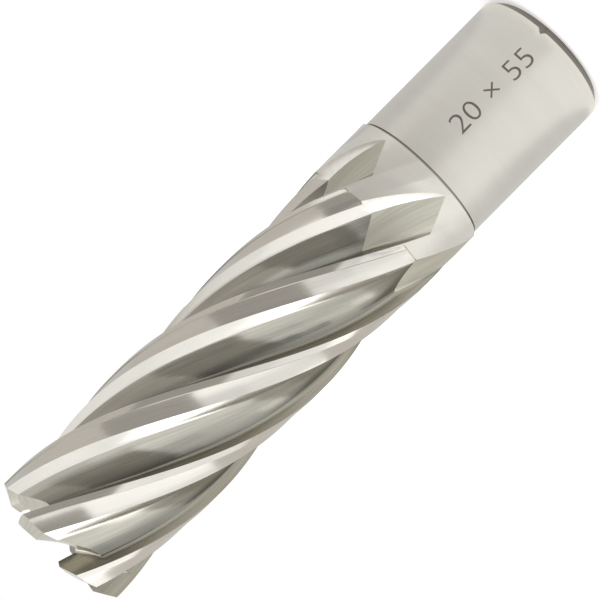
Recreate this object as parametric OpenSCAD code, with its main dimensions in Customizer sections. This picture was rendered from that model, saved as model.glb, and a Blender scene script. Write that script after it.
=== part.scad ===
// Annular cutter, ground from one bar of high-speed steel.
// It stands on its shank's end with the teeth up. Seen from above it cuts counter-clockwise.
// Angles run counter-clockwise from +X, and the front of the cutter is at -Y.

/* [Shank] */
// Diameter of the ground shank
shank_d = 19.05; // [16:0.05:19.5]
// Length of the shank, from its end to the shoulder
shank_h = 22.3; // [20:0.1:40]
// Chamfer round the shank's end
end_chamfer = 1; // [0.4:0.1:2]
// Width of the grinding undercut at the shoulder
undercut_w = 0.35; // [0.2:0.05:1]
// Depth of the grinding undercut
undercut_depth = 0.2; // [0.1:0.05:0.5]
// Height of the drive flats' lower edge above the shank's end
flat_z = 6; // [4:0.5:8]
// Length of each drive flat along the shank
flat_h = 11; // [8:0.5:12]
// Depth of each drive flat below the shank's surface
flat_depth = 1.2; // [0.6:0.1:1.8]

/* [Body] */
// Cutting diameter over the teeth
cut_d = 20; // [18:0.5:40]
// Length from the shoulder to the tooth tips
body_h = 64.7; // [60:0.1:90]
// How much the body's radius shrinks from the teeth to the shoulder
back_taper = 0.15; // [0.05:0.05:0.3]
// Radial width of the wall that cuts, from the core cavity to the cutting diameter
wall_w = 3.75; // [3.2:0.05:5]
// Depth of the core cavity below the tooth tips
core_h = 56; // [40:1:58]
// Height of the cone at the bottom of the core cavity
core_cone_h = 2; // [1:0.5:4]
// Diameter of the bore that the pilot pin slides in
pilot_d = 6.4; // [5:0.1:8]
// Chamfer at the pilot bore's mouth
pilot_chamfer = 0.5; // [0.2:0.1:1]

/* [Flutes] */
// Number of teeth, each with a flute ahead of it
tooth_n = 6; // [5:1:8]
// Rise of a flute over one whole turn
flute_lead = 111.5; // [90:0.5:200]
// Depth of a flute beside the cutting edge
flute_depth = 1.9; // [1.2:0.1:2.2]
// Depth of a flute at the foot of its heel wall
heel_depth = 1.4; // [0.8:0.1:1.8]
// Radius between a flute's rake wall and its floor
flute_fillet = 0.7; // [0.4:0.1:1.1]
// Width of a land, with its margin
land_w = 3.5; // [2.6:0.1:4]
// Width of the full-diameter margin behind the cutting edge
margin_w = 0.95; // [0.5:0.05:1.5]
// Width of the heel wall, as seen from outside
heel_w = 1.4; // [1:0.1:1.8]
// Step down from the margin to the land
margin_step = 0.12; // [0.05:0.01:0.3]
// Clearance of the land at its heel
land_relief = 0.3; // [0.1:0.05:0.5]
// Height above the shoulder at which the land's clearance starts
relief_start = 8.3; // [7:0.1:12]
// Height above the shoulder at which a flute runs out at its heel
runout_start = 0.75; // [0.6:0.05:2.5]
// How much higher the flute runs out at its rake wall
runout_slant = 4.35; // [1:0.05:6]
// Length over which a flute rises to its run-out
runout_h = 7.5; // [5:0.5:12]
// Angle by which a flute's heel corner swings towards the rake wall at the run-out
runout_swing = 5; // [0:0.5:8]

/* [Teeth] */
// Angle of the first tooth's leading edge at the tips
tooth_phase = 8; // [0:0.5:60]
// Clearance angle of the end face behind the cutting edge
tip_relief = 8; // [4:0.5:12]
// Radial distance of the tooth's point from the core cavity
point_in = 1.2; // [0.6:0.1:2]
// Angle by which a cutting edge's inner end leads its outer corner
edge_lead = 8; // [0:1:12]
// Slope outwards from the point on the teeth that cut the outside of the ring
flat_bevel = 21; // [4:1:25]
// Slope outwards from the point on the teeth that cut the middle of the ring
middle_bevel = 29; // [10:1:35]
// Slope outwards from the point on the teeth that cut the inside of the ring
steep_bevel = 32; // [30:1:50]
// Slope of the end face from the point to the core cavity
inner_bevel = 10; // [0:1:30]
// Depth of a gullet where it meets the flute's floor
gullet_out_h = 4.2; // [2.5:0.1:5]
// Depth of a gullet where it breaks into the core cavity
gullet_in_h = 2.8; // [1.5:0.1:3]
// Radius at the foot of a gullet
gullet_r = 0.9; // [0.5:0.05:1]

/* [Hidden] */
$fn = 128;
cut_through = 1;
core_lap = 0.6;

shank_r = shank_d / 2;
cut_r = cut_d / 2;
core_r = cut_r - wall_w;
pilot_r = pilot_d / 2;
shoulder_z = shank_h;
tip_z = shoulder_z + body_h;
core_z = tip_z - core_h;
flat_angles = [60, 150];

// Section of one pitch, as angles ahead of a cutting edge
pitch_a = 360 / tooth_n;
twist = 360 / flute_lead;
function arc_a(width, radius) = width / radius * 180 / PI;
rake_a = 1;
fillet_a = arc_a(flute_fillet, cut_r - flute_depth);
heel_top_a = pitch_a - arc_a(land_w, cut_r);
corner_a = heel_top_a - arc_a(heel_w, cut_r);
margin_a = pitch_a - arc_a(margin_w, cut_r);
land_a = margin_a - 0.6;
least_heel = 0.04;
floor_a = rake_a + fillet_a;
gullet_foot_share = 0.12;
gullet_foot_a = lerp(floor_a, corner_a, gullet_foot_share);
gullet_top_a = heel_top_a;

// Heights of the run-out and of the land's clearance
relief_z = shoulder_z + relief_start;
relief_ramp = 0.12;
relief_room = 1;
runout_rings = 5;
ring_gap = 1.9;
body_rings = ceil((body_h - runout_start - runout_h) / ring_gap);
ring_n = 1 + runout_rings + 1 + body_rings;

function lerp(a, b, t) = a + (b - a) * t;
function clamp(t) = min(1, max(0, t));
function blank_r(z) = lerp(cut_r - back_taper, cut_r, (z - shoulder_z) / body_h);

// Radius at an angle on the straight line between two points given as angle and radius
function chord_r(a, from, to) =
    from[1] * to[1] * sin(to[0] - from[0])
    / (from[1] * sin(a - from[0]) + to[1] * sin(to[0] - a));

// Depth of the flute's flat floor between its fillet and its heel corner
function floor_depth(a) =
    cut_r - chord_r(a, [floor_a, cut_r - flute_depth], [corner_a, cut_r - heel_depth]);

// Depth of the land's flat clearance between its heel and its margin
function land_depth(a) =
    cut_r - chord_r(a, [heel_top_a, cut_r - land_relief], [land_a, cut_r - margin_step]);

// Columns of the section: each is an angle, a depth and a kind
fillet_steps = 4;
floor_shares = [gullet_foot_share, 0.28, 0.46, 0.64, 0.82, 1];
edge_column = [[0, 0, "flute"]];
fillet_columns = [
    for (i = [0:fillet_steps])
    let (turn = 90 * i / fillet_steps)
    [rake_a + fillet_a * (1 - cos(turn)), flute_depth - flute_fillet * (1 - sin(turn)), "flute"]
];
floor_columns = [
    for (t = floor_shares)
    let (a = lerp(floor_a, corner_a, t))
    [a, floor_depth(a), "flute"]
];
heel_column = [[heel_top_a, land_relief, "heel"]];
land_columns = [
    for (t = [1 / 3, 2 / 3, 1])
    let (a = lerp(heel_top_a, land_a, t))
    [a, land_depth(a), "land"]
];
margin_columns = [
    for (t = [0, 0.5])
    [lerp(margin_a, pitch_a, t), 0, "margin"]
];
columns = concat(edge_column, fillet_columns, floor_columns, heel_column, land_columns, margin_columns);
column_n = len(columns);

// Height at which the flute runs out to nothing, which slants across the flute and back over the land
function runout_z(a) =
    shoulder_z + runout_start
    + runout_slant * (a <= corner_a ? 1 - a / corner_a : (a - corner_a) / (pitch_a - corner_a));

// Height of a column's point on each ring of the run-out
function foot_z(column, ring) =
    let (start = runout_z(column[2] == "heel" ? corner_a : column[0]))
    let (low = min(start, relief_z - relief_room))
    let (rise = column[2] == "flute"
        ? [for (i = [0:runout_rings]) start + runout_h * i / runout_rings]
        : [
            low,
            lerp(low, relief_z, 1 / 3),
            lerp(low, relief_z, 2 / 3),
            relief_z,
            relief_z + relief_ramp,
            max(start + runout_h, relief_z + relief_room)
        ])
    rise[ring];

// Share of its full depth that a flute has reached at a height
function runout_share(a, z) = clamp((z - runout_z(a)) / runout_h);

// Angle across a flute, which narrows towards its rake wall as it runs out
function swung_a(a, share) = a - runout_swing * min(1, a / corner_a) * (1 - share) ^ 2;

// Angle and depth of a column where it passes a height
function column_a(column, z) =
    column[2] == "flute" ? swung_a(column[0], runout_share(column[0], z))
    : column[2] != "heel" ? column[0]
    : let (share = runout_share(corner_a, z))
        lerp(swung_a(corner_a, share), heel_top_a, max(least_heel, share));
function column_depth(column, z) =
    column[2] == "flute" ? column[1] * runout_share(column[0], z)
    : z > relief_z + relief_ramp / 2 ? column[1] : 0;

// The teeth take turns: each kind cuts its own part of the ring
point_r = core_r + point_in;
outer_bevels = [middle_bevel, flat_bevel, steep_bevel];
function outer_bevel(tooth) = outer_bevels[tooth % len(outer_bevels)];

// End face of a tooth: it falls behind the cutting edge, and to both sides of its point
function end_z(a, r, tooth) =
    let (behind = a == 0 ? 0 : pitch_a - a)
    let (bevel = outer_bevel(a == 0 ? tooth : (tooth + 1) % tooth_n))
    tip_z
    - behind * PI / 180 * r * tan(tip_relief)
    - (r > point_r ? (r - point_r) * tan(bevel) : (point_r - r) * tan(inner_bevel));

// Foot of a gullet, which falls outwards so that chips leave by the flute
gullet_curve = 1.4;
gullet_slope = (gullet_out_h - gullet_in_h) / (cut_r - flute_depth - core_r);
function gullet_z(a, r) =
    let (across = a * PI / 180 * r)
    tip_z - gullet_in_h - gullet_slope * (r - core_r)
    + (across < gullet_r ? gullet_r - sqrt(gullet_r ^ 2 - (gullet_r - across) ^ 2) : 0);

// Top of the wall: cutting edge, gullet, the slope out of the gullet and the end face
function top_z(a, r, tooth) =
    a == 0 || a >= gullet_top_a ? end_z(a, r, tooth)
    : a <= gullet_foot_a ? gullet_z(a, r)
    : lerp(
        gullet_z(gullet_foot_a, r),
        end_z(gullet_top_a, r, tooth),
        ((a - gullet_foot_a) / (gullet_top_a - gullet_foot_a)) ^ gullet_curve
    );

// Angle of a point on the end: the cutting edge leads towards the core, and the gullet gives way to it
function led_a(a, r) =
    a >= gullet_top_a ? a
    : lerp(edge_lead * (cut_r - r) / wall_w, gullet_top_a, a / gullet_top_a);

function wall_r(column, z) = blank_r(z) - column_depth(column, z);
function rim_z(column, tooth) = top_z(column[0], wall_r(column, tip_z), tooth);

function column_z(column, tooth, ring) =
    ring == 0 ? shoulder_z
    : ring <= runout_rings + 1 ? foot_z(column, ring - 1)
    : lerp(
        foot_z(column, runout_rings),
        rim_z(column, tooth),
        (ring - runout_rings - 1) / body_rings
    );

// Point at an angle of one pitch, a radius and a height, turned along the helix
function helix_point(a, r, z) =
    let (turn = tooth_phase + a + twist * (z - tip_z))
    [r * cos(turn), r * sin(turn), z];

function wall_point(column, tooth, ring) =
    let (z = column_z(column, tooth, ring))
    helix_point(tooth * pitch_a + column_a(column, z), wall_r(column, z), z);
function top_point(column, tooth, r) =
    helix_point(tooth * pitch_a + led_a(column[0], r), r, top_z(column[0], r, tooth));

// Solid wall with its flutes and teeth, lofted ring by ring up the helix
module fluted_blank() {
    inside_r = core_r - core_lap;
    around = tooth_n * column_n;
    wall_points = [
        for (ring = [0:ring_n - 1], tooth = [0:tooth_n - 1], column = columns)
        wall_point(column, tooth, ring)
    ];
    top_points = [
        for (r = [point_r, inside_r], tooth = [0:tooth_n - 1], column = columns)
        top_point(column, tooth, r)
    ];
    ring_total = ring_n + 2;
    hub = ring_total * around;
    sides = [
        for (ring = [0:ring_total - 2], i = [0:around - 1])
        let (a = ring * around + i)
        let (b = ring * around + (i + 1) % around)
        each [[a, a + around, b + around], [a, b + around, b]]
    ];
    foot_face = [[for (i = [0:around - 1]) i]];
    hub_faces = [
        for (i = [0:around - 1])
        let (last = (ring_total - 1) * around)
        [last + i, hub, last + (i + 1) % around]
    ];
    polyhedron(
        points = concat(wall_points, top_points, [[0, 0, tip_z - gullet_out_h]]),
        faces = concat(sides, foot_face, hub_faces)
    );
}

// Turned and ground shank with its end chamfer and the undercut below the shoulder
module shank_blank() {
    rotate_extrude()
        polygon([
            [0, 0],
            [shank_r - end_chamfer, 0],
            [shank_r, end_chamfer],
            [shank_r, shoulder_z - undercut_w],
            [shank_r - undercut_depth, shoulder_z - undercut_w],
            [shank_r - undercut_depth, shoulder_z],
            [0, shoulder_z]
        ]);
}

// Two flats, a quarter turn apart, that the holder's screws press on
module drive_flats() {
    for (angle = flat_angles)
        rotate([0, 0, angle])
            translate([shank_r - flat_depth, -shank_r, flat_z])
                cube([shank_r, shank_d, flat_h]);
}

// Cavity that the core of the workpiece stands in
module core_cavity() {
    translate([0, 0, core_z + core_cone_h])
        cylinder(h = core_h - core_cone_h + cut_through, r = core_r);
    translate([0, 0, core_z])
        cylinder(h = core_cone_h, r1 = pilot_r, r2 = core_r);
}

// Bore for the pilot pin, with its mouth chamfered at the shank's end
module pilot_bore() {
    translate([0, 0, -cut_through])
        cylinder(h = core_z + core_cone_h + cut_through, r = pilot_r);
    translate([0, 0, -pilot_chamfer])
        cylinder(h = 2 * pilot_chamfer, r1 = pilot_r + 2 * pilot_chamfer, r2 = pilot_r);
}

// The whole cutter, one piece of steel
module cutter_body() {
    color("silver")
        difference() {
            union() {
                shank_blank();
                fluted_blank();
            }
            drive_flats();
            core_cavity();
            pilot_bore();
        }
}

cutter_body();
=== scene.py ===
import math
import bmesh
import bpy
from mathutils import Matrix, Vector


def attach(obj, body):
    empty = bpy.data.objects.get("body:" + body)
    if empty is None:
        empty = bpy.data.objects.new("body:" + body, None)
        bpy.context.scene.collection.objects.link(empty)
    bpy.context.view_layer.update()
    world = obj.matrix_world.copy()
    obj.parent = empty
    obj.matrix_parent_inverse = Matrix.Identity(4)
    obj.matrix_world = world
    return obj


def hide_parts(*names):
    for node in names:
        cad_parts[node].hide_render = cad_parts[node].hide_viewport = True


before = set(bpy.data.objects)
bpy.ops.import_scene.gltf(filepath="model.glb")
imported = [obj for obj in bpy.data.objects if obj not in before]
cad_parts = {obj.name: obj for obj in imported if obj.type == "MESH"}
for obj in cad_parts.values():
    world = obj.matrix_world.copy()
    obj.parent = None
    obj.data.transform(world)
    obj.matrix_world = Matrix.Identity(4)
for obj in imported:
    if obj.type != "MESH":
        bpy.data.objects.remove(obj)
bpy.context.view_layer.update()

mm = 0.001
mergeGap = 0.002 * mm
scene = bpy.context.scene
scene.view_settings.view_transform = "Standard"


def linear(hexColour):
    channels = [int(hexColour[i:i + 2], 16) / 255 for i in (1, 3, 5)]
    return [c / 12.92 if c <= 0.04045 else ((c + 0.055) / 1.055) ** 2.4 for c in channels] + [1.0]


def lerp(a, b, t):
    return a + (b - a) * t


def clamp(t):
    return min(1.0, max(0.0, t))


def arcA(width, radius):
    return math.degrees(width / radius)


# turn from one angle to another, the short way round
def turnTo(fromA, toA):
    return (toA - fromA + 180) % 360 - 180


# a place in metres, from millimetres and degrees round the axis
def polar(r, a, z):
    return r * math.cos(math.radians(a)) * mm, r * math.sin(math.radians(a)) * mm, z * mm


def addObject(name, data):
    thing = bpy.data.objects.new(name, data)
    scene.collection.objects.link(thing)
    return thing


# the plain mesh that an object comes to, which takes the object's place
def plainMesh(thing):
    graph = bpy.context.evaluated_depsgraph_get()
    mesh = bpy.data.meshes.new_from_object(
        thing.evaluated_get(graph), preserve_all_data_layers=True, depsgraph=graph)
    bpy.data.objects.remove(thing)
    return mesh


# adds one node, with its settings, socket values and links
def addNode(tree, kind, settings=None, values=None, links=None):
    node = tree.nodes.new(kind)
    for key, value in (settings or {}).items():
        setattr(node, key, value)
    for key, value in (values or {}).items():
        node.inputs[key].default_value = value
    for key, source in (links or {}).items():
        tree.links.new(source, node.inputs[key])
    return node


# one step of arithmetic; each input is a float or another node's output
def calculate(tree, operation, *inputs):
    numbers = {i: item for i, item in enumerate(inputs) if isinstance(item, float)}
    sources = {i: item for i, item in enumerate(inputs) if not isinstance(item, float)}
    return addNode(tree, "ShaderNodeMath", {"operation": operation}, numbers, sources).outputs[0]


def mapRange(tree, value, source, target):
    ends = {"From Min": source[0], "From Max": source[1], "To Min": target[0], "To Max": target[1]}
    return addNode(tree, "ShaderNodeMapRange", {}, ends, {"Value": value}).outputs["Result"]


def colourRamp(tree, factor, colours, span):
    ramp = addNode(tree, "ShaderNodeValToRGB", {}, {}, {"Fac": factor})
    for stop, position, hexColour in zip(ramp.color_ramp.elements, span, colours):
        stop.position = position
        stop.color = linear(hexColour)
    return ramp.outputs["Color"]


def newMaterial(name, values):
    material = bpy.data.materials.new(name)
    material.use_nodes = True
    tree = material.node_tree
    shader = tree.nodes["Principled BSDF"]
    for key, value in values.items():
        shader.inputs[key].default_value = value
    return material, tree, shader


# sizes in millimetres and degrees, the same as the solid's
cutter = {
    "shankD": 19.05, "shankH": 22.3, "endChamfer": 1.0, "undercutW": 0.35, "undercutDepth": 0.2,
    "flatZ": 6.0, "flatH": 11.0, "flatDepth": 1.2, "flatAngles": (60, 150),
    "cutD": 20.0, "bodyH": 64.7, "backTaper": 0.15, "wallW": 3.75,
    "coreH": 56.0, "coreConeH": 2.0, "pilotD": 6.4, "pilotChamfer": 0.5,
    "toothN": 6, "lead": 111.5, "fluteDepth": 1.9, "heelDepth": 1.4, "fillet": 0.7, "rakeA": 1.0,
    "landW": 3.5, "marginW": 0.95, "heelW": 1.4, "marginStep": 0.12, "marginStepA": 0.6,
    "landRelief": 0.3, "reliefStart": 8.3, "reliefRamp": 0.12, "reliefRoom": 1.0,
    "runoutStart": 0.75, "runoutSlant": 4.35, "runoutH": 7.5, "runoutSwing": 5.0, "leastHeel": 0.04,
    "toothPhase": 8.0, "tipRelief": 8.0, "pointIn": 1.2, "edgeLead": 8.0,
    "outerBevels": (29.0, 21.0, 32.0), "innerBevel": 10.0,
    "gulletOutH": 4.2, "gulletInH": 2.8, "gulletR": 0.9, "gulletCurve": 1.4, "gulletFootShare": 0.12,
}
# rings and columns of the skin, which is finer than the solid
detail = {
    "runoutRings": 24, "reliefRings": 4, "bodyRings": 72, "endRings": 9, "pointRings": 4, "coreRings": 6,
    "rakeShares": (0.0, 0.3, 0.65), "filletSteps": 10, "rakeFilletSteps": 6,
    "floorShares": (0.06, 0.12, 0.19, 0.26, 0.33, 0.4, 0.47, 0.54, 0.61, 0.68, 0.75, 0.82, 0.88, 0.94, 1.0),
    "wallShares": (0.25, 0.5, 0.75), "landSteps": 8, "marginShares": (0.0, 0.33, 0.67),
    "coreShares": (0.1, 0.3, 0.5, 0.7, 0.85, 1.0), "easeRings": 5, "flatSteps": 6, "flatGap": 0.01,
    "sharpA": 24, "shiftSample": 7,
}
shankR = cutter["shankD"] / 2
cutR = cutter["cutD"] / 2
coreR = cutR - cutter["wallW"]
pilotR = cutter["pilotD"] / 2
shoulderZ = cutter["shankH"]
tipZ = shoulderZ + cutter["bodyH"]
coreZ = tipZ - cutter["coreH"]
pointR = coreR + cutter["pointIn"]
gulletRoom = 6.0
rootZ = tipZ - gulletRoom  # below every gullet, where the cavity's wall is plain
pitchA = 360 / cutter["toothN"]
flutePitch = math.tau * cutR / cutter["toothN"]

toneSpan = (0.3, 0.7)  # where most of a noise lies
patchLength = 8  # times as long as wide


# noise drawn out along V: streaks to the millimetre, and how many times as long as wide they are
def streaks(tree, grindMap, perMm, length, values):
    scale = (perMm, perMm / length, 1.0)
    drawn = addNode(tree, "ShaderNodeMapping", {}, {"Scale": scale}, {"Vector": grindMap})
    noise = addNode(tree, "ShaderNodeTexNoise", {}, {"Scale": 1.0, **values},
                    {"Vector": drawn.outputs["Vector"]})
    return noise.outputs["Fac"]


# steel that a wheel has ground: fine lines run along V of the piece's own map, which is in millimetres;
# painted shades are stretches across a flute (X) or along it (Y) over which a darker tone, painted shade,
# fades out
def groundSteel(name, look):
    material, tree, shader = newMaterial(name, {"Metallic": 1.0})
    grindMap = addNode(tree, "ShaderNodeUVMap", {"uv_map": "grind"}).outputs["UV"]
    # scratches drawn about 0.1 mm wide, a few times coarser than the grit, so that they show
    scratches = streaks(tree, grindMap, look["linesPerMm"], look["lineLength"],
                        {"Detail": 4.0, "Roughness": 0.65})
    patches = streaks(tree, grindMap, look["patchPerMm"], patchLength, {"Detail": 2.0})
    tone = addNode(tree, "ShaderNodeMix", {"data_type": "FLOAT"}, {"Factor": look["patchShare"]},
                   {"A": scratches, "B": patches}).outputs["Result"]
    colour = colourRamp(tree, tone, look["colours"], toneSpan)
    # painted shade: the base colour is multiplied darker over each stretch
    for axis, start, end, share in look.get("paintedShades", ()):
        place = addNode(tree, "ShaderNodeSeparateXYZ", {}, {}, {0: grindMap}).outputs[axis]
        if axis == "X":
            place = calculate(tree, "MODULO", place, flutePitch)
        paintedShadeFade = mapRange(tree, place, (start, end), (share, 1.0))
        # a Mix node's sockets for colours: factor 0, the two colours 6 and 7, result 2
        colour = addNode(tree, "ShaderNodeMix", {"data_type": "RGBA", "blend_type": "MULTIPLY"}, {0: 1.0},
                         {6: colour, 7: paintedShadeFade}).outputs[2]
    tree.links.new(colour, shader.inputs["Base Color"])
    tree.links.new(mapRange(tree, tone, toneSpan, look["rough"]), shader.inputs["Roughness"])
    bump = addNode(tree, "ShaderNodeBump", {}, {"Strength": look["bump"], "Distance": look["bumpDepth"] * mm},
                   {"Height": scratches})
    tree.links.new(bump.outputs["Normal"], shader.inputs["Normal"])
    return material


# high-speed steel, the finishes that the grinding steps leave; the order is the order of the slots
finishes = {
    # flute ground along its helix by a coarse wheel: long streaks and sharp reflections,
    # with painted shade beside the rake wall and just above where the flute runs out
    "fluteGround": groundSteel("high_speed_steel_flute_ground", {
        "colours": ("#A3A196", "#C1BFB4"), "rough": (0.13, 0.22), "linesPerMm": 5.0, "lineLength": 60,
        "patchPerMm": 0.6, "patchShare": 0.35, "bump": 0.4, "bumpDepth": 0.012,
        "paintedShades": (("Y", 36.0, 41.5, 0.55), ("X", 2.7, 4.9, 0.5))}),
    # ramp where the wheel left the cut: the same lines, but duller and paler
    "rampGround": groundSteel("high_speed_steel_ramp_ground", {
        "colours": ("#B2B0A2", "#D6D4C7"), "rough": (0.4, 0.5), "linesPerMm": 5.0, "lineLength": 60,
        "patchPerMm": 0.6, "patchShare": 0.3, "bump": 0.4, "bumpDepth": 0.012}),
    # rake wall from the wheel's edge: dull and olive, with painted shade in its darker colour,
    # so that it stays dark beside the floor; the undercut and the narrow steps of the land have this painted
    # shade too
    "rakeGroundPaintedShade": groundSteel("high_speed_steel_rake_ground_painted_shade", {
        "colours": ("#827E71", "#B2AEA0"), "rough": (0.26, 0.4), "linesPerMm": 6.0, "lineLength": 60,
        "patchPerMm": 0.6, "patchShare": 0.3, "bump": 0.4, "bumpDepth": 0.012}),
    # heel wall from the flank of the same wheel: bright and even
    "heelGround": groundSteel("high_speed_steel_heel_ground", {
        "colours": ("#D9D6CE", "#E8E5DE"), "rough": (0.2, 0.3), "linesPerMm": 5.0, "lineLength": 50,
        "patchPerMm": 0.5, "patchShare": 0.4, "bump": 0.15, "bumpDepth": 0.008}),
    # land and margin, finish ground: smooth, with soft-edged reflections
    "landGround": groundSteel("high_speed_steel_land_ground", {
        "colours": ("#DCD9D1", "#E8E5DD"), "rough": (0.15, 0.2), "linesPerMm": 4.0, "lineLength": 40,
        "patchPerMm": 0.4, "patchShare": 0.4, "bump": 0.08, "bumpDepth": 0.006}),
    # collar, ground on the same machine as the teeth: a little brighter than the shank
    "collarGround": groundSteel("high_speed_steel_collar_ground", {
        "colours": ("#DAD7CF", "#E2DFD7"), "rough": (0.31, 0.37), "linesPerMm": 7.0, "lineLength": 30,
        "patchPerMm": 0.5, "patchShare": 0.5, "bump": 0.06, "bumpDepth": 0.006}),
    # shank, cylindrically ground: satin, with a broad soft sheen
    "shankGround": groundSteel("high_speed_steel_cylinder_ground", {
        "colours": ("#CFCCC4", "#D7D4CC"), "rough": (0.33, 0.39), "linesPerMm": 7.0, "lineLength": 30,
        "patchPerMm": 0.5, "patchShare": 0.5, "bump": 0.06, "bumpDepth": 0.006}),
    # tooth ends and gullets, tool ground: crisp facets with fine lines
    "toothGround": groundSteel("high_speed_steel_tooth_ground", {
        "colours": ("#AAA69A", "#C6C2B6"), "rough": (0.18, 0.28), "linesPerMm": 5.0, "lineLength": 30,
        "patchPerMm": 0.7, "patchShare": 0.3, "bump": 0.2, "bumpDepth": 0.008}),
    # cavity and bore, bored before hardening: darker, with turning rings
    "coreBored": groundSteel("high_speed_steel_bored", {
        "colours": ("#BDB9B0", "#D4D0C7"), "rough": (0.3, 0.42), "linesPerMm": 3.0, "lineLength": 60,
        "patchPerMm": 0.5, "patchShare": 0.3, "bump": 0.4, "bumpDepth": 0.02}),
    # end face and chamfers, left as turned and hardened: dull grey
    "turnedDull": groundSteel("high_speed_steel_turned_hardened", {
        "colours": ("#7F7A73", "#98938B"), "rough": (0.45, 0.6), "linesPerMm": 4.0, "lineLength": 40,
        "patchPerMm": 0.6, "patchShare": 0.4, "bump": 0.3, "bumpDepth": 0.015}),
}
finishIndex = {name: i for i, name in enumerate(finishes)}
print("finishes:", len(finishes))

# section of one pitch, as angles ahead of a cutting edge
rakeA = cutter["rakeA"]
filletA = arcA(cutter["fillet"], cutR - cutter["fluteDepth"])
floorA = rakeA + filletA
heelTopA = pitchA - arcA(cutter["landW"], cutR)
cornerA = heelTopA - arcA(cutter["heelW"], cutR)
marginA = pitchA - arcA(cutter["marginW"], cutR)
landA = marginA - cutter["marginStepA"]
gulletFootA = lerp(floorA, cornerA, cutter["gulletFootShare"])
gulletTopA = heelTopA
reliefZ = shoulderZ + cutter["reliefStart"]


def blankR(z):
    return lerp(cutR - cutter["backTaper"], cutR, (z - shoulderZ) / cutter["bodyH"])


# radius at an angle on the straight line between two points
def chordR(a, a0, r0, a1, r1):
    a, a0, a1 = math.radians(a), math.radians(a0), math.radians(a1)
    return r0 * r1 * math.sin(a1 - a0) / (r0 * math.sin(a - a0) + r1 * math.sin(a1 - a))


# the wheel leaves the floor a little hollow beside the rake wall, where it turns into the fillet
hollow = {"share": 0.75, "lift": 0.36, "turn": 75.0, "growth": 9.0}
hollowA = rakeA + filletA * (1 - math.cos(math.radians(hollow["turn"])))


def floorLift(a):
    return hollow["lift"] * clamp(1 - (a - hollowA) / (cornerA - hollowA) / hollow["share"]) ** 2


def floorDepth(a):
    flat = chordR(a, floorA, cutR - cutter["fluteDepth"], cornerA, cutR - cutter["heelDepth"])
    return cutR - flat - floorLift(a)


def landDepth(a):
    return cutR - chordR(a, heelTopA, cutR - cutter["landRelief"], landA, cutR - cutter["marginStep"])


# one pitch of the section: angle, depth, kind, and the finish of the strip after it;
# a column of the heel wall has its share of the way up the wall instead of an angle
def sectionColumns():
    top = floorDepth(hollowA) - cutter["fillet"] * math.sin(math.radians(hollow["turn"]))
    columns = [(rakeA * t, top * t, "flute", "rakeGroundPaintedShade") for t in detail["rakeShares"]]
    for i in range(detail["filletSteps"] + 1):
        turn = math.radians(hollow["turn"] * i / detail["filletSteps"])
        a = rakeA + filletA * (1 - math.cos(turn))
        # painted shade: the fillet's first strips take the dark rake finish
        finish = "rakeGroundPaintedShade" if i < detail["rakeFilletSteps"] else "fluteGround"
        columns.append((a, top + cutter["fillet"] * math.sin(turn), "flute", finish))
    for t in detail["floorShares"]:
        a = lerp(hollowA, cornerA, t)
        columns.append((a, floorDepth(a), "flute", "fluteGround" if t < 1 else "heelGround"))
    columns += [(t, 0.0, "heelWall", "heelGround") for t in detail["wallShares"]]
    columns.append((heelTopA, cutter["landRelief"], "heel", "landGround"))
    for i in range(1, detail["landSteps"] + 1):
        a = lerp(heelTopA, landA, i / detail["landSteps"])
        # painted shade: the last strip, the step up to the margin, takes the dark rake finish
        columns.append((a, landDepth(a), "land", "landGround" if i < detail["landSteps"] else "rakeGroundPaintedShade"))
    columns += [(lerp(marginA, pitchA, t), 0.0, "margin", "landGround") for t in detail["marginShares"]]
    return columns


columns = sectionColumns()
cornerColumn = next(i for i, c in enumerate(columns) if c[2] == "heelWall") - 1
heelColumn = next(i for i, c in enumerate(columns) if c[2] == "heel")


def runoutZ(a):
    slant = 1 - a / cornerA if a <= cornerA else (a - cornerA) / (pitchA - cornerA)
    return shoulderZ + cutter["runoutStart"] + cutter["runoutSlant"] * slant


# height of a run-out's ring; on the land the last rings lie above the step of the relief
def footZ(column, ring):
    a, depth, kind, finish = column
    start = runoutZ(cornerA if kind == "heel" else a)
    last = detail["runoutRings"]
    if kind == "flute":
        return start + cutter["runoutH"] * ring / last
    low = min(start, reliefZ - cutter["reliefRoom"])
    high = max(start + cutter["runoutH"], reliefZ + cutter["reliefRoom"])
    stepRing = last - detail["reliefRings"]
    if ring <= stepRing:
        return lerp(low, reliefZ, ring / stepRing)
    return lerp(reliefZ + cutter["reliefRamp"], high, (ring - stepRing - 1) / (detail["reliefRings"] - 1))


def aboveRelief(z):
    return z > reliefZ + cutter["reliefRamp"] / 2


# share of its full depth that a flute has reached
def runoutShare(a, z):
    return clamp((z - runoutZ(a)) / cutter["runoutH"])


# a flute narrows towards its rake wall as it runs out
def swungA(a, share):
    return a - cutter["runoutSwing"] * min(1.0, a / cornerA) * (1 - share) ** 2


# below the relief the heel wall goes on up to the collar, and the land starts behind it
heelGrowth = 0.6
collarWall = cutter["heelDepth"] / (cutter["heelDepth"] - cutter["landRelief"])


def columnA(column, z):
    a, depth, kind, finish = column
    wallTopA = lerp(cornerA, heelTopA, 1.0 if aboveRelief(z) else collarWall)
    if kind == "flute":
        return swungA(a, runoutShare(a, z))
    if kind == "heel":
        share = runoutShare(cornerA, z)
        return lerp(swungA(cornerA, share), wallTopA, max(cutter["leastHeel"], share ** heelGrowth))
    if kind == "land":
        return lerp(wallTopA, landA, (a - heelTopA) / (landA - heelTopA))
    return a


# the ramp is flat, the hollow grows above it
def columnDepth(column, z):
    a, depth, kind, finish = column
    if kind == "flute":
        lift = floorLift(a) if a > hollowA else hollow["lift"] * depth / floorDepth(hollowA)
        above = clamp((z - runoutZ(a) - cutter["runoutH"]) / hollow["growth"])
        return (depth + lift) * runoutShare(a, z) - lift * above
    return depth if aboveRelief(z) else 0.0


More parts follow.
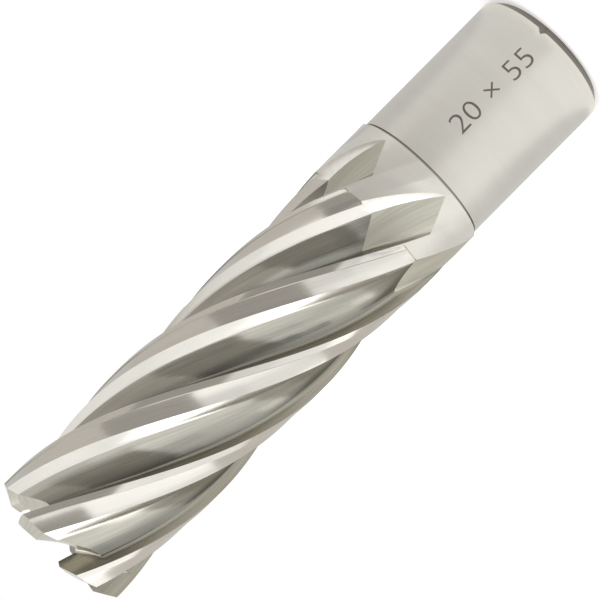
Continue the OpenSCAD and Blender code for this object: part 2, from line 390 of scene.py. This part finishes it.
# end face of a tooth: it falls behind the cutting edge, and to both sides of its point
def endZ(a, r, tooth):
    behind = 0 if a == 0 else pitchA - a
    bevel = cutter["innerBevel"]
    if r > pointR:
        bevel = cutter["outerBevels"][(tooth if a == 0 else tooth + 1) % len(cutter["outerBevels"])]
    fall = abs(r - pointR) * math.tan(math.radians(bevel))
    return tipZ - math.radians(behind) * r * math.tan(math.radians(cutter["tipRelief"])) - fall


def gulletZ(a, r):
    slope = (cutter["gulletOutH"] - cutter["gulletInH"]) / (cutR - cutter["fluteDepth"] - coreR)
    across = math.radians(a) * r
    foot = cutter["gulletR"]
    lift = foot - math.sqrt(foot ** 2 - (foot - across) ** 2) if across < foot else 0.0
    return tipZ - cutter["gulletInH"] - slope * (r - coreR) + lift


def topZ(a, r, tooth):
    if a == 0 or a >= gulletTopA:
        return endZ(a, r, tooth)
    if a <= gulletFootA:
        return gulletZ(a, r)
    rise = ((a - gulletFootA) / (gulletTopA - gulletFootA)) ** cutter["gulletCurve"]
    return lerp(gulletZ(gulletFootA, r), endZ(gulletTopA, r, tooth), rise)


# angle, radius and height of a column's point on each ring, from the shoulder to the tooth's outer edge
def columnPath(column, tooth):
    rim = topZ(column[0], blankR(tipZ) - columnDepth(column, tipZ), tooth)
    heights = [shoulderZ] + [footZ(column, i) for i in range(detail["runoutRings"] + 1)]
    heights += [lerp(heights[-1], rim, (i + 1) / detail["bodyRings"]) for i in range(detail["bodyRings"])]
    return [(columnA(column, z), blankR(z) - columnDepth(column, z), z) for z in heights]


# the cutting edge leads towards the core, and the gullet gives way to it
def ledA(a, r):
    if a >= gulletTopA:
        return a
    return lerp(cutter["edgeLead"] * (cutR - r) / cutter["wallW"], gulletTopA, a / gulletTopA)


# the rest of a column's path, from the outer edge over the tooth into the cavity
def endPath(a, rimR, rimZ, tooth):
    path = []
    off = rimZ - topZ(a, rimR, tooth)
    for i in range(1, detail["endRings"] + 1):
        t = i / detail["endRings"]
        r = lerp(rimR, pointR, t)
        path.append((lerp(a, ledA(a, pointR), t), r, topZ(a, r, tooth) + off * (1 - t)))
    for i in range(1, detail["pointRings"] + 1):
        r = lerp(pointR, coreR, i / detail["pointRings"])
        path.append((ledA(a, r), r, topZ(a, r, tooth)))
    edge = path[-1][2]
    for i in range(1, detail["coreRings"] + 1):
        path.append((path[-1][0], coreR, lerp(edge, rootZ, i / detail["coreRings"])))
    return path


# three teeth, one of each kind, before the helix turns them
def straightHalf():
    kinds = len(cutter["outerBevels"])
    paths, strips = [], []
    for tooth in range(kinds):
        walls = [columnPath(c, tooth) if c[2] != "heelWall" else None for c in columns]
        for i, (t, depth, kind, finish) in enumerate(columns):
            if kind == "heelWall":
                ends = zip(walls[cornerColumn], walls[heelColumn])
                walls[i] = [tuple(lerp(p, q, t) for p, q in zip(low, high)) for low, high in ends]
        for wall, (a, depth, kind, finish) in zip(walls, columns):
            path = wall + endPath(*wall[-1], tooth)
            paths.append([(p[0] + tooth * pitchA, p[1], p[2]) for p in path])
            strips.append((finish, kind in ("heel", "land", "margin")))
    paths.append([(a + kinds * pitchA, r, z) for a, r, z in paths[0]])
    return paths, strips


rampRings = 1 + detail["runoutRings"]
collarRings = rampRings - detail["reliefRings"]
wallRings = rampRings + detail["bodyRings"]
toothRings = wallRings + detail["endRings"] + detail["pointRings"]


def faceFinish(ring, column, strip, onLand):
    if ring == 0 or (onLand and ring < collarRings):
        return "collarGround"
    # painted shade: the step of the relief takes the dark rake finish
    if onLand and ring == collarRings:
        return "rakeGroundPaintedShade"
    if ring < rampRings and strip == "fluteGround":
        return "rampGround"
    if ring < wallRings:
        return strip
    if ring < toothRings:
        # painted shade: the rake faces of the teeth take the dark rake finish
        return "rakeGroundPaintedShade" if column < len(detail["rakeShares"]) else "toothGround"
    return "coreBored"


# the map runs on down the walls, and is longer along the helix than along the axis
stretch = {"wall": 1.2, "helix": 1.14}


def grindPlace(finish, a, r, z):
    around = math.radians(a) * cutR
    if finish in ("collarGround", "coreBored"):
        return z, around
    if finish == "toothGround":
        return around, r
    return around + (cutR - r) * stretch["wall"], z * stretch["helix"]


def fluteMesh():
    paths, strips = straightHalf()
    ringN = len(paths[0])
    faces, kinds, zones, places = [], [], [], []
    for i, (strip, onLand) in enumerate(strips):
        for ring in range(ringN - 1):
            a, b = i * ringN + ring, (i + 1) * ringN + ring
            faces.append((a, b, b + 1, a + 1))
            zones.append(0 if ring == 0 or onLand else 1 if ring < rampRings else 2)
            finish = faceFinish(ring, i % len(columns), strip, onLand)
            kinds.append(finishIndex[finish])
            for j, k in ((i, ring), (i + 1, ring), (i + 1, ring + 1), (i, ring + 1)):
                places += grindPlace(finish, *paths[j][k])
    mesh = bpy.data.meshes.new("flutedHalf")
    mesh.from_pydata([polar(r, a, z) for path in paths for a, r, z in path], [], faces)
    mesh.uv_layers.new(name="grind").data.foreach_set("uv", places)
    mesh.attributes.new("finish", "INT", "FACE").data.foreach_set("value", kinds)
    mesh.attributes.new("zone", "INT", "FACE").data.foreach_set("value", zones)
    return mesh


# turns the straight half along the helix, and sets the halves round the axis
def helixTree():
    tree = bpy.data.node_groups.new("helixFlutes", "GeometryNodeTree")
    tree.interface.new_socket("Geometry", in_out="INPUT", socket_type="NodeSocketGeometry")
    tree.interface.new_socket("Geometry", in_out="OUTPUT", socket_type="NodeSocketGeometry")
    kinds = {"Lead": "NodeSocketFloat", "Tip Height": "NodeSocketFloat", "Phase": "NodeSocketFloat",
             "Copies": "NodeSocketInt"}
    sockets = {}
    for name, kind in kinds.items():
        sockets[name] = tree.interface.new_socket(name, in_out="INPUT", socket_type=kind).identifier
    given = addNode(tree, "NodeGroupInput").outputs
    place = addNode(tree, "GeometryNodeInputPosition").outputs[0]
    height = addNode(tree, "ShaderNodeSeparateXYZ", {}, {}, {0: place}).outputs["Z"]
    below = calculate(tree, "SUBTRACT", height, given["Tip Height"])
    turns = calculate(tree, "DIVIDE", below, given["Lead"])
    angle = calculate(tree, "MULTIPLY_ADD", turns, math.tau, given["Phase"])
    turned = addNode(tree, "ShaderNodeVectorRotate", {"rotation_type": "Z_AXIS"}, {},
                     {"Vector": place, "Angle": angle})
    helix = addNode(tree, "GeometryNodeSetPosition", {}, {},
                    {"Geometry": given["Geometry"], "Position": turned.outputs[0]})
    points = addNode(tree, "GeometryNodePoints", {}, {}, {"Count": given["Copies"]})
    step = calculate(tree, "DIVIDE", math.tau, given["Copies"])
    index = addNode(tree, "GeometryNodeInputIndex")
    share = calculate(tree, "MULTIPLY", index.outputs[0], step)
    euler = addNode(tree, "ShaderNodeCombineXYZ", {}, {}, {"Z": share})
    rotation = addNode(tree, "FunctionNodeEulerToRotation", {}, {}, {0: euler.outputs[0]})
    copies = addNode(tree, "GeometryNodeInstanceOnPoints", {}, {}, {
        "Points": points.outputs[0], "Instance": helix.outputs[0], "Rotation": rotation.outputs[0]})
    real = addNode(tree, "GeometryNodeRealizeInstances", {}, {}, {0: copies.outputs[0]})
    last = addNode(tree, "GeometryNodeMergeByDistance", {}, {"Distance": mergeGap},
                   {"Geometry": real.outputs[0]})
    finish = addNode(tree, "GeometryNodeInputNamedAttribute", {"data_type": "INT"}, {"Name": "finish"})
    for name, material in finishes.items():
        chosen = addNode(tree, "FunctionNodeCompare", {"data_type": "INT", "operation": "EQUAL"},
                         {"B": finishIndex[name]}, {"A": finish.outputs[0]})
        last = addNode(tree, "GeometryNodeSetMaterial", {}, {"Material": material},
                       {"Geometry": last.outputs[0], "Selection": chosen.outputs[0]})
    addNode(tree, "NodeGroupOutput", {}, {}, {0: last.outputs[0]})
    return tree, sockets


def flutedBody():
    half = addObject("flutedBody", fluteMesh())
    tree, sockets = helixTree()
    modifier = half.modifiers.new("helix", "NODES")
    modifier.node_group = tree
    modifier[sockets["Lead"]] = cutter["lead"] * mm
    modifier[sockets["Tip Height"]] = tipZ * mm
    modifier[sockets["Phase"]] = math.radians(cutter["toothPhase"])
    modifier[sockets["Copies"]] = cutter["toothN"] // len(cutter["outerBevels"])
    return plainMesh(half)


# radius of the shank at an angle, with the drive flats where they are
def flatR(angle, z):
    r = shankR
    if cutter["flatZ"] <= z <= cutter["flatZ"] + cutter["flatH"]:
        for middle in cutter["flatAngles"]:
            across = math.cos(math.radians(turnTo(middle, angle)))
            if across > 0:
                r = min(r, (shankR - cutter["flatDepth"]) / across)
    return r


# rings from the cavity's plain wall down the bore and up the shank to the shoulder:
# radius, height, and the finish after it
def lathePath():
    bottom, top = cutter["flatZ"], cutter["flatZ"] + cutter["flatH"]
    coneH, boreChamfer, endChamfer = cutter["coreConeH"], cutter["pilotChamfer"], cutter["endChamfer"]
    boreRim, endRim = pilotR + boreChamfer, shankR - endChamfer
    neck, neckR = shoulderZ - cutter["undercutW"], shankR - cutter["undercutDepth"]
    gap, steps = detail["flatGap"], detail["flatSteps"]
    path = [(coreR, lerp(rootZ, coreZ + coneH, t), "coreBored") for t in detail["coreShares"]]
    path += [(lerp(coreR, pilotR, t), coreZ + coneH * (1 - t), "coreBored") for t in (0.5, 1.0)]
    path += [(pilotR, lerp(coreZ, boreChamfer, t), "coreBored") for t in (0.33, 0.67)]
    path += [(pilotR, boreChamfer, "turnedDull"), (boreRim, 0.0, "turnedDull")]
    path += [(lerp(boreRim, endRim, 0.5), 0.0, "turnedDull"), (endRim, 0.0, "turnedDull")]
    shankZs = [endChamfer, lerp(endChamfer, bottom, 0.5), bottom - gap]
    shankZs += [lerp(bottom, top, i / steps) for i in range(steps + 1)]
    shankZs += [top + gap, lerp(top, neck, 0.5)]
    path += [(shankR, z, "shankGround") for z in shankZs]
    # painted shade: the undercut takes the dark rake finish
    path += [(shankR, neck, "rakeGroundPaintedShade"), (neckR, neck, "rakeGroundPaintedShade"), (neckR, shoulderZ, "shankGround")]
    return path


# a knock on the rim of the shank's end
nick = {"angle": -77.5, "half": 3.4, "depth": 0.16, "rise": 0.5}


def nickShare(a, r, z):
    if r != shankR or z != cutter["endChamfer"]:
        return 0.0
    return clamp(1 - abs(turnTo(nick["angle"], a)) / nick["half"])


def angleOf(vert):
    return math.degrees(math.atan2(vert.co.y, vert.co.x)) % 360


# rings of the turned surfaces; the first ones ease the cavity's columns into even steps
def turnedRings(bm, path, coreRim, evenA):
    rings = []
    for k, (r, z, finish) in enumerate(path):
        ease = clamp((k + 1) / detail["easeRings"])
        ring = []
        for vert, even in zip(coreRim, evenA):
            a = lerp(angleOf(vert), even, ease)
            radius = flatR(a, z) if r == shankR else r
            knock = nickShare(a, r, z)
            ring.append(bm.verts.new(polar(radius - nick["depth"] * knock, a, z + nick["rise"] * knock)))
        rings.append(ring)
    return rings


# the shoulder's own columns, starting where they lie nearest to the shank's
def shoulderRing(shoulderRim, evenA):
    around = len(shoulderRim)
    samples = range(0, around, detail["shiftSample"])

    def miss(shift):
        return sum(abs(turnTo(evenA[i], angleOf(shoulderRim[(i + shift) % around]))) for i in samples)

    shift = min(range(around), key=miss)
    return shoulderRim[shift:] + shoulderRim[:shift]


def cutterBody():
    bm = bmesh.new()
    bm.from_mesh(flutedBody())
    uv = bm.loops.layers.uv["grind"]
    finishLayer = bm.faces.layers.int["finish"]
    for face in bm.faces:
        face.material_index = face[finishLayer]
    rim = sorted({v for e in bm.edges if e.is_boundary for v in e.verts}, key=angleOf)
    middleZ = lerp(shoulderZ, tipZ, 0.5) * mm
    coreRim = [v for v in rim if v.co.z > middleZ]
    shoulderRim = [v for v in rim if v.co.z < middleZ]
    around = len(shoulderRim)
    print("columns around:", around, len(coreRim))
    start = sum(angleOf(v) - 360 * i / around for i, v in enumerate(coreRim)) / around
    evenA = [start + 360 * i / around for i in range(around)]
    path = lathePath()
    rings = [coreRim] + turnedRings(bm, path, coreRim, evenA) + [shoulderRing(shoulderRim, evenA)]
    finishesAlong = ["coreBored"] + [finish for r, z, finish in path]
    for ring, nextRing, finish in zip(rings, rings[1:], finishesAlong):
        for i in range(around):
            j = (i + 1) % around
            face = bm.faces.new((ring[i], ring[j], nextRing[j], nextRing[i]))
            face.material_index = finishIndex[finish]
            for loop, column in zip(face.loops, (i, i + 1, i + 1, i)):
                co = loop.vert.co / mm
                loop[uv].uv = (co.z + math.hypot(co.x, co.y), math.tau * column / around * cutR)
    bmesh.ops.remove_doubles(bm, verts=bm.verts, dist=mergeGap)
    bmesh.ops.recalc_face_normals(bm, faces=bm.faces)
    for face in bm.faces:
        face.smooth = True
    # the ramp where a flute runs out meets the collar and the floor in crisp lines
    zone = bm.faces.layers.int["zone"]
    bm.edges.index_update()
    creases = [e.index for e in bm.edges if len({f[zone] for f in e.link_faces}) > 1]
    mesh = bpy.data.meshes.new("cutter")
    bm.to_mesh(mesh)
    bm.free()
    for material in finishes.values():
        mesh.materials.append(material)
    mesh.set_sharp_from_angle(angle=math.radians(detail["sharpA"]))
    for i in creases:
        mesh.edges[i].use_edge_sharp = True
    return addObject("cutter", mesh)


cutterPiece = cutterBody()
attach(cutterPiece, "root")
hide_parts("cutter_body")
print("cutter:", len(cutterPiece.data.polygons), "faces")

# size numbers, etched into the ground shank by a laser
etching = {
    "text": "20 × 55", "height": 2.5, "length": 12.5, "startBelowShoulder": 5.7, "middleAngle": -82.0,
    "proud": 0.004, "thinner": 0.012, "mergeGap": 1e-5, "cuts": 2,
    "colours": ("#5E564D", "#857B6F"), "grainPerMm": 6,
}


# oxide left by the laser: dull brown-grey, a little grainy
def etchedOxide():
    material, tree, shader = newMaterial("steel_laser_etched", {"Metallic": 0.3, "Roughness": 0.6})
    place = addNode(tree, "ShaderNodeTexCoord")
    grain = addNode(tree, "ShaderNodeTexNoise", {}, {"Scale": etching["grainPerMm"] / mm, "Detail": 3.0},
                    {"Vector": place.outputs["Object"]})
    colour = colourRamp(tree, grain.outputs["Fac"], etching["colours"], (0.0, 1.0))
    tree.links.new(colour, shader.inputs["Base Color"])
    return material


def etchedNumbers():
    curve = bpy.data.curves.new("etchedNumbers", "FONT")
    curve.body = etching["text"]
    curve.size = 1.0
    curve.offset = -etching["thinner"]
    bm = bmesh.new()
    bm.from_mesh(plainMesh(addObject("etchedText", curve)))
    bmesh.ops.remove_doubles(bm, verts=bm.verts, dist=etching["mergeGap"])
    bmesh.ops.triangulate(bm, faces=bm.faces)
    bmesh.ops.subdivide_edges(bm, edges=bm.edges, cuts=etching["cuts"], use_grid_fill=True)
    xs = [v.co.x for v in bm.verts]
    ys = [v.co.y for v in bm.verts]
    left, right, low, high = min(xs), max(xs), min(ys), max(ys)
    for v in bm.verts:
        along = (v.co.x - left) / (right - left) * etching["length"]
        up = ((v.co.y - low) / (high - low) - 0.5) * etching["height"]
        angle = etching["middleAngle"] + arcA(up, shankR)
        v.co = polar(shankR + etching["proud"], angle, shoulderZ - etching["startBelowShoulder"] - along)
    bmesh.ops.recalc_face_normals(bm, faces=bm.faces)
    for face in bm.faces:
        middle = face.calc_center_median()
        if face.normal.dot(Vector((middle.x, middle.y, 0))) < 0:
            face.normal_flip()
    etched = bpy.data.meshes.new("etchedNumbers")
    bm.to_mesh(etched)
    bm.free()
    etched.materials.append(etchedOxide())
    return addObject("etchedNumbers", etched)


numbers = etchedNumbers()
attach(numbers, "root")
print("etched numbers:", len(numbers.data.polygons), "faces")

# table, surroundings and light, in metres
white = (1, 1, 1, 1)
black = (0, 0, 0, 1)
studio = {
    "floorSize": 3.0, "floor": "#F4F3F0", "glowFrom": (0.1, 0.6), "glow": (0.45, 1.0),
    "worldGlossy": 1.0, "worldDiffuse": 0.55, "boxAim": 0.045, "matHeight": 0.001, "arcSteps": 24,
    "camera": {"distance": 0.1885, "height": 0.0607, "lens": 90.48, "sensor": 36.0, "roll": 44.78,
               "shift": (0.1652, 0.1654), "clip": (0.01, 50.0)},
}


# 1 for rays that show the thing itself, 0 for those that only light other things
def clearRay(tree):
    rays = addNode(tree, "ShaderNodeLightPath").outputs
    seen = calculate(tree, "MAXIMUM", rays["Is Camera Ray"], rays["Is Glossy Ray"])
    return calculate(tree, "MAXIMUM", seen, rays["Is Transmission Ray"])


def studioWorld():
    world = bpy.data.worlds.new("studio")
    scene.world = world
    world.use_nodes = True
    tree = world.node_tree
    background = tree.nodes["Background"]
    background.inputs["Color"].default_value = white
    strength = mapRange(tree, clearRay(tree), (0.0, 1.0), (studio["worldDiffuse"], studio["worldGlossy"]))
    tree.links.new(strength, background.inputs["Strength"])


def plainFloor():
    mesh = bpy.data.meshes.new("floor")
    half = studio["floorSize"] / 2
    corners = [(-half, -half, 0), (half, -half, 0), (half, half, 0), (-half, half, 0)]
    mesh.from_pydata(corners, [], [(0, 1, 2, 3)])
    # matt paper: no shine, so only the soft shadow shows
    material, tree, shader = newMaterial("paper_matt_white", {
        "Base Color": linear(studio["floor"]), "Roughness": 1.0, "Specular IOR Level": 0.0,
        "Emission Color": white})
    # painted light: away from the cutter the flat paper glows brighter for the camera and in reflections, up
    # to plain white
    place = addNode(tree, "ShaderNodeTexCoord")
    away = addNode(tree, "ShaderNodeVectorMath", {"operation": "LENGTH"}, {}, {0: place.outputs["Object"]})
    lift = mapRange(tree, away.outputs["Value"], studio["glowFrom"], studio["glow"])
    glow = calculate(tree, "MULTIPLY", clearRay(tree), lift)
    tree.links.new(glow, shader.inputs["Emission Strength"])
    mesh.materials.append(material)
    floor = addObject("floor", mesh)


# soft boxes, each aimed at the cutter from an angle round it and a rise above the floor
softBoxes = {
    "keyBox": {"angle": -95, "rise": 36, "distance": 0.5, "size": (0.7, 0.36), "radiance": 1.35},
    "topBox": {"angle": 20, "rise": 78, "distance": 0.5, "size": (0.4, 0.4), "radiance": 1.1},
}


def softLights():
    for name, box in softBoxes.items():
        light = bpy.data.lights.new(name, "AREA")
        light.shape = "RECTANGLE"
        light.size, light.size_y = box["size"]
        light.energy = box["radiance"] * math.pi * box["size"][0] * box["size"][1]
        a, e = math.radians(box["angle"]), math.radians(box["rise"])
        out = Vector((math.sin(a) * math.cos(e), -math.cos(a) * math.cos(e), math.sin(e)))
        place = Vector((0, 0, studio["boxAim"])) + out * box["distance"]
        lamp = addObject(name, light)
        lamp.matrix_world = Matrix.Translation(place) @ out.to_track_quat("Z", "Y").to_matrix().to_4x4()
        lamp.visible_camera = False


# cards in arcs round the cutter: angles from the camera, distance, heights, and how bright they are
warmWhite = "#FFFAF4"
standingCards = {
    "keyCard": {"angles": (-128, 26), "reach": 0.5, "heights": (0.105, 0.38), "bright": 1.25},
    "rightFlag": {"angles": (-6, 64), "reach": 0.45, "heights": (0.001, 0.21), "bright": 0.38,
                  "tint": warmWhite},
    "rightCard": {"angles": (64, 132), "reach": 0.22, "heights": (0.001, 0.14), "bright": 0.6,
                  "tint": warmWhite},
    "frontCard": {"angles": (-40, -6), "reach": 0.5, "heights": (0.001, 0.104), "bright": 0.8},
    "frontLeftCard": {"angles": (-100, -40), "reach": 0.5, "heights": (0.001, 0.104), "bright": 0.92},
    "backLeftCard": {"angles": (-176, -100), "reach": 0.24, "heights": (0.001, 0.14), "bright": 0.62,
                     "tint": warmWhite},
    "backRightCard": {"angles": (132, 176), "reach": 0.24, "heights": (0.001, 0.14), "bright": 0.6},
}
# mats that lie on the floor in the same way, from one distance to another
lyingMats = {
    "darkMat": {"angles": (-6, 64), "reach": (0.15, 0.3), "bright": 0.24, "tint": warmWhite},
    "greyMat": {"angles": (-6, 64), "reach": (0.3, 0.45), "bright": 0.38, "tint": warmWhite},
    "leftStripe": {"angles": (-22, -6), "reach": (0.145, 0.24), "bright": 0.24},
    "farLeftStripe": {"angles": (-46, -22), "reach": (0.145, 0.19), "bright": 0.24},
    "frontLeftMat": {"angles": (-80, -3), "reach": (0.011, 0.6), "bright": 1.14, "height": 0.0005},
    "rightMat": {"angles": (-3, 92), "reach": (0.011, 0.15), "bright": 0.95},
    "backLeftMat": {"angles": (-176, -80), "reach": (0.011, 0.24), "bright": 0.8},
    "backRightMat": {"angles": (92, 176), "reach": (0.011, 0.24), "bright": 0.76},
}


def addCard(name, card, reaches, heights):
    steps = studio["arcSteps"]
    verts = []
    for i in range(steps + 1):
        a = math.radians(lerp(*card["angles"], i / steps))
        for reach, height in zip(reaches, heights):
            verts.append((math.sin(a) * reach, -math.cos(a) * reach, height))
    mesh = bpy.data.meshes.new(name)
    mesh.from_pydata(verts, [], [(2 * i, 2 * i + 1, 2 * i + 3, 2 * i + 2) for i in range(steps)])
    # painted light: the matt card is black and glows evenly by itself, and the polished faces mirror it
    material, tree, shader = newMaterial("card_matt_" + name, {
        "Base Color": black, "Specular IOR Level": 0.0, "Roughness": 1.0,
        "Emission Color": linear(card.get("tint", "#FFFFFF")), "Emission Strength": card["bright"]})
    mesh.materials.append(material)
    standing = addObject(name, mesh)
    standing.visible_camera = False
    standing.visible_shadow = False
    standing.visible_diffuse = False


def glowingCards():
    for name, card in standingCards.items():
        addCard(name, card, (card["reach"],) * 2, card["heights"])
    for name, mat in lyingMats.items():
        addCard(name, mat, mat["reach"], (mat.get("height", studio["matHeight"]),) * 2)


# a close camera, level with the flutes and square to the axis;
# the frame is shifted so that the whole cutter is in it
def photoCamera():
    view = studio["camera"]
    roll = math.radians(view["roll"])
    right, up, back = Vector((1, 0, 0)), Vector((0, 0, 1)), Vector((0, -1, 0))
    # the cutter lies across the picture, teeth to the lower left
    x = -right * math.cos(roll) - up * math.sin(roll)
    y = right * math.sin(roll) - up * math.cos(roll)
    data = bpy.data.cameras.new("photoCamera")
    data.sensor_width = view["sensor"]
    data.lens = view["lens"]
    data.shift_x, data.shift_y = view["shift"]
    data.clip_start, data.clip_end = view["clip"]
    camera = addObject("photoCamera", data)
    place = up * view["height"] + back * view["distance"]
    camera.matrix_world = Matrix.Translation(place) @ Matrix((x, y, back)).transposed().to_4x4()
    scene.camera = camera


studioWorld()
plainFloor()
softLights()
glowingCards()
photoCamera()
print("studio ready")
